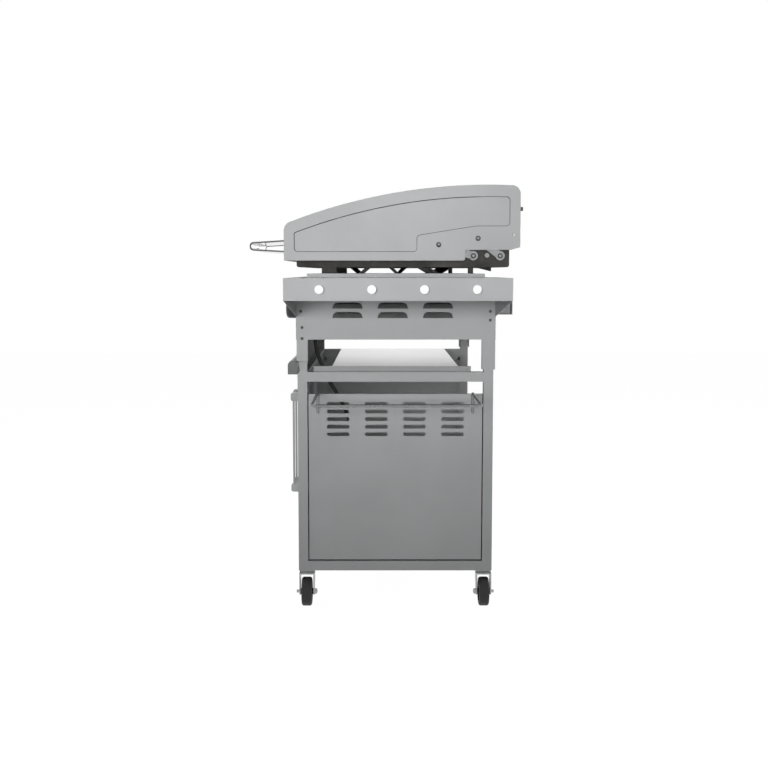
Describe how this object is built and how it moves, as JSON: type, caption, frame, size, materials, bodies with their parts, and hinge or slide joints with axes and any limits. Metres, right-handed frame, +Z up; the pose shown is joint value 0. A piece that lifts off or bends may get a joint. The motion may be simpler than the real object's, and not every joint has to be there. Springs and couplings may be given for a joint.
{
  "type": "outdoor gas griddle station",
  "caption": "Outdoor gas griddle station on casters with a swing-back hood, a flat steel griddle plate, side shelves and a vented cabinet with doors.",
  "frame": {"origin": "on the floor under the middle of the whole station's box", "axes": "+X towards the right-hand shelf, +Y towards the rear, +Z up"},
  "size_m": [1.724, 0.7366, 1.0897],
  "materials": {
    "grey_paint": "satin",
    "black_paint": "satin",
    "brushed_steel": "brushed",
    "polished_steel": "polished",
    "zinc_steel": "satin",
    "galvanised_steel": "matte",
    "griddle_steel": "matte",
    "brass": "satin",
    "black_plastic": "matte",
    "rubber": "matte",
    "tread": "matte"
  },
  "bodies": {
    "cart": {"leg_front_left": "grey_paint", "leg_front_right": "grey_paint", "leg_rear_left": "grey_paint", "leg_rear_right": "grey_paint", "upper_legs": "grey_paint", "side_rails": "grey_paint", "cross_rails": "grey_paint", "side_panel_left": "grey_paint", "side_panel_right": "grey_paint", "bottom_shelf": "grey_paint", "heat_shield": "galvanised_steel", "front_fascia": "grey_paint", "tool_rail": "brushed_steel", "tool_loops": "polished_steel", "firebox_side_left": "grey_paint", "firebox_side_right": "grey_paint", "firebox_walls": "grey_paint", "control_panel": "grey_paint", "burners": "zinc_steel", "gas_manifold": "zinc_steel", "gas_valves": "brass", "igniter_module": "black_plastic", "gas_hose": "rubber", "regulator": "zinc_steel", "shelf_left": "grey_paint", "shelf_right": "grey_paint", "shelf_pegs": "polished_steel", "bag_frame": "zinc_steel", "cup_holder": "black_paint", "door_hardware": "zinc_steel", "caster_sockets": "zinc_steel", "frame_screws": "zinc_steel"},
    "griddle": {"griddle_plate": "griddle_steel", "griddle_supports": "griddle_steel", "grease_spout": "griddle_steel", "hinge_bolts": "zinc_steel"},
    "front_links": {"front_links": "zinc_steel"},
    "rear_links": {"rear_links": "zinc_steel"},
    "lid": {"lid_shell": "grey_paint", "lid_ends": "grey_paint", "lid_handle": "polished_steel", "lid_hardware": "zinc_steel"},
    "door_left": {"door_left": "grey_paint", "door_handle_left": "polished_steel"},
    "door_right": {"door_right": "grey_paint", "door_handle_right": "polished_steel"},
    "knob_1": {"knob_1": "black_plastic"},
    "knob_2": {"knob_2": "black_plastic"},
    "knob_3": {"knob_3": "black_plastic"},
    "knob_4": {"knob_4": "black_plastic"},
    "igniter_button": {"igniter_button": "black_plastic"},
    "grease_cup": {"grease_cup": "galvanised_steel"},
    "caster_fork_front_left": {"caster_fork_front_left": "zinc_steel"},
    "wheel_front_left": {"wheel_front_left": "tread"},
    "caster_fork_front_right": {"caster_fork_front_right": "zinc_steel"},
    "wheel_front_right": {"wheel_front_right": "tread"},
    "caster_fork_rear_left": {"caster_fork_rear_left": "zinc_steel"},
    "wheel_rear_left": {"wheel_rear_left": "tread"},
    "caster_fork_rear_right": {"caster_fork_rear_right": "zinc_steel"},
    "wheel_rear_right": {"wheel_rear_right": "tread"}
  },
  "joints": [
    {"name": "griddle_lift", "type": "slide", "parent": "cart", "child": "griddle", "axis": [0, 0, 1], "range_m": [0, 0.05]},
    {"name": "rear_link_hinge", "type": "hinge", "parent": "griddle", "child": "rear_links", "pos_m": [0, 0.2997, 0.9102], "axis": [-1, 0, 0], "range_deg": [0, 183]},
    {"name": "front_link_hinge", "type": "hinge", "parent": "griddle", "child": "front_links", "pos_m": [0, 0.2312, 0.9102], "axis": [-1, 0, 0], "range_deg": [0, 133.3]},
    {"name": "lid_hinge", "type": "hinge", "parent": "rear_links", "child": "lid", "pos_m": [0, 0.2424, 0.9544], "axis": [-1, 0, 0], "range_deg": [-108.5, 0]},
    {"name": "door_left_hinge", "type": "hinge", "parent": "cart", "child": "door_left", "pos_m": [-0.42265, -0.2137, 0.345], "axis": [0, 0, -1], "range_deg": [0, 100]},
    {"name": "door_right_hinge", "type": "hinge", "parent": "cart", "child": "door_right", "pos_m": [0.42265, -0.2137, 0.345], "axis": [0, 0, 1], "range_deg": [0, 100]},
    {"name": "knob_1_turn", "type": "hinge", "parent": "cart", "child": "knob_1", "pos_m": [-0.336, -0.2236, 0.774], "axis": [0, -1, 0], "range_deg": [0, 180]},
    {"name": "knob_2_turn", "type": "hinge", "parent": "cart", "child": "knob_2", "pos_m": [-0.112, -0.2236, 0.774], "axis": [0, -1, 0], "range_deg": [0, 180]},
    {"name": "knob_3_turn", "type": "hinge", "parent": "cart", "child": "knob_3", "pos_m": [0.112, -0.2236, 0.774], "axis": [0, -1, 0], "range_deg": [0, 180]},
    {"name": "knob_4_turn", "type": "hinge", "parent": "cart", "child": "knob_4", "pos_m": [0.336, -0.2236, 0.774], "axis": [0, -1, 0], "range_deg": [0, 180]},
    {"name": "igniter_press", "type": "slide", "parent": "cart", "child": "igniter_button", "axis": [0, 1, 0], "range_m": [0, 0.004], "stiffness_N_per_m": 400},
    {"name": "grease_cup_slide", "type": "slide", "parent": "cart", "child": "grease_cup", "axis": [-1, 0, 0], "range_m": [0, 0.14]},
    {"name": "swivel_front_left", "type": "hinge", "parent": "cart", "child": "caster_fork_front_left", "pos_m": [-0.4455, -0.1985, 0.087], "axis": [0, 0, 1], "continuous": true},
    {"name": "wheel_front_left_spin", "type": "hinge", "parent": "caster_fork_front_left", "child": "wheel_front_left", "pos_m": [-0.4235, -0.1985, 0.0375], "axis": [0, 1, 0], "continuous": true},
    {"name": "swivel_front_right", "type": "hinge", "parent": "cart", "child": "caster_fork_front_right", "pos_m": [0.4455, -0.1985, 0.087], "axis": [0, 0, 1], "continuous": true},
    {"name": "wheel_front_right_spin", "type": "hinge", "parent": "caster_fork_front_right", "child": "wheel_front_right", "pos_m": [0.4675, -0.1985, 0.0375], "axis": [0, 1, 0], "continuous": true},
    {"name": "swivel_rear_left", "type": "hinge", "parent": "cart", "child": "caster_fork_rear_left", "pos_m": [-0.4455, 0.2627, 0.087], "axis": [0, 0, 1], "continuous": true},
    {"name": "wheel_rear_left_spin", "type": "hinge", "parent": "caster_fork_rear_left", "child": "wheel_rear_left", "pos_m": [-0.4235, 0.2627, 0.0375], "axis": [0, 1, 0], "continuous": true},
    {"name": "swivel_rear_right", "type": "hinge", "parent": "cart", "child": "caster_fork_rear_right", "pos_m": [0.4455, 0.2627, 0.087], "axis": [0, 0, 1], "continuous": true},
    {"name": "wheel_rear_right_spin", "type": "hinge", "parent": "caster_fork_rear_right", "child": "wheel_rear_right", "pos_m": [0.4675, 0.2627, 0.0375], "axis": [0, 1, 0], "continuous": true}
  ],
  "couplings": [
    {"joint": "front_link_hinge", "follows": "rear_link_hinge", "ratio": 0.7279},
    {"joint": "lid_hinge", "follows": "rear_link_hinge", "ratio": -0.5923}
  ]
}
